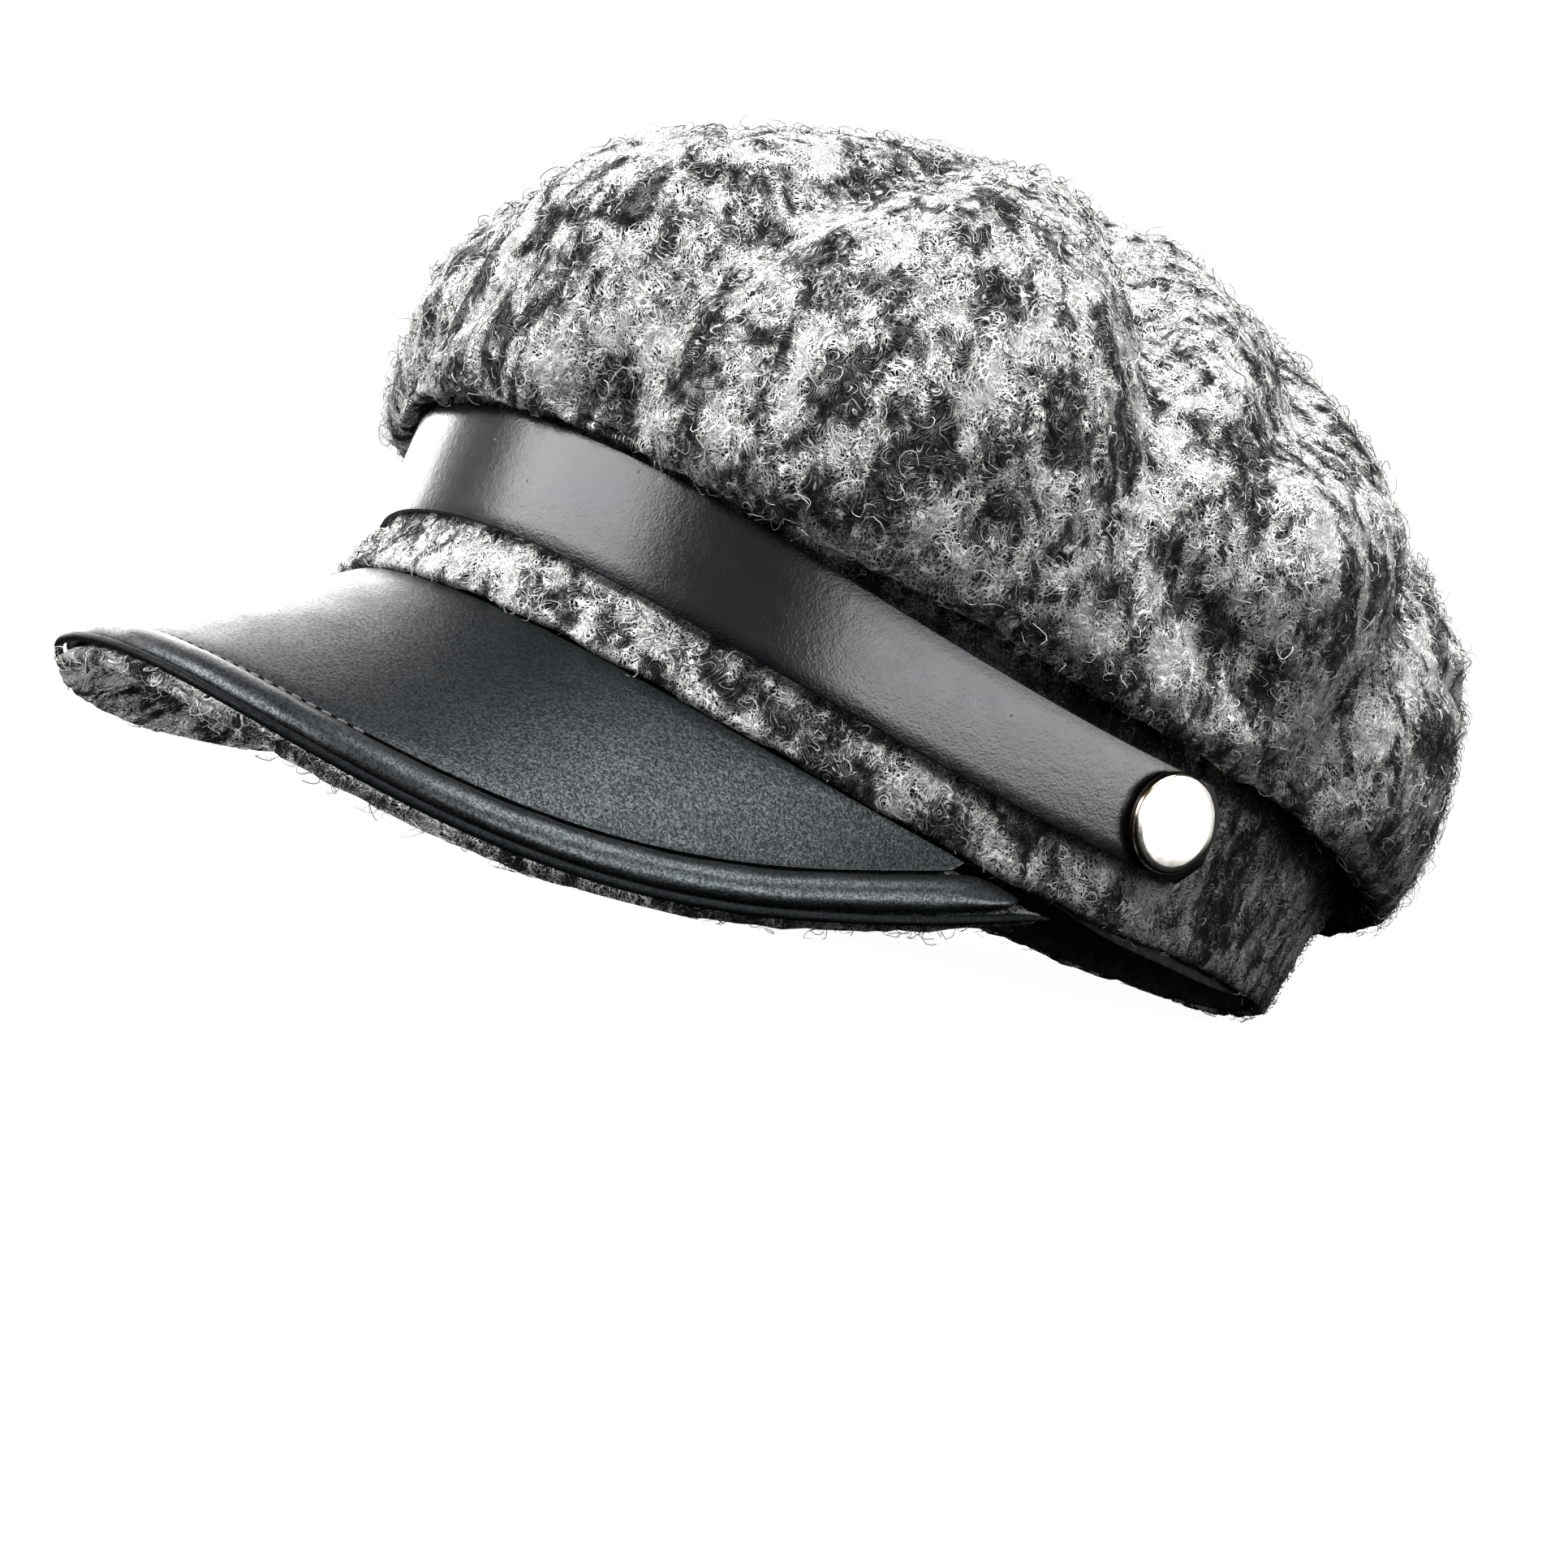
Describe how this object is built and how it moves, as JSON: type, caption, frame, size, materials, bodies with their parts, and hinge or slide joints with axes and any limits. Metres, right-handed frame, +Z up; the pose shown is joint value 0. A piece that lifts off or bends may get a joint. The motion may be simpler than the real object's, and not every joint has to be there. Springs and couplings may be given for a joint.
{
  "type": "wool cap",
  "caption": "Baker boy cap of mottled boiled wool: full folded crown on a band, leather strap with metal snap caps, leather-covered peak with rolled, piped edge.",
  "frame": {"origin": "bottom centre of the bounding box, on the surface that the cap lies on", "axes": "+Z up, -Y towards the peak, +X towards the wearer's left"},
  "size_m": [0.2086, 0.2718, 0.1442],
  "materials": {
    "wool": "curly boiled wool, mottled black, grey and white",
    "lining": "matt black",
    "strap_leather": "smooth satin black",
    "peak_leather": "finely pebbled black, half gloss",
    "nickel": "polished"
  },
  "bodies": {
    "root": {"crown": "wool", "band": "wool", "sweatband": "lining", "strap": "strap_leather", "snap_left": "nickel", "snap_right": "nickel", "peak_top": "peak_leather", "peak_binding": "peak_leather", "peak_piping": "peak_leather", "peak_underside": "wool"}
  },
  "joints": []
}
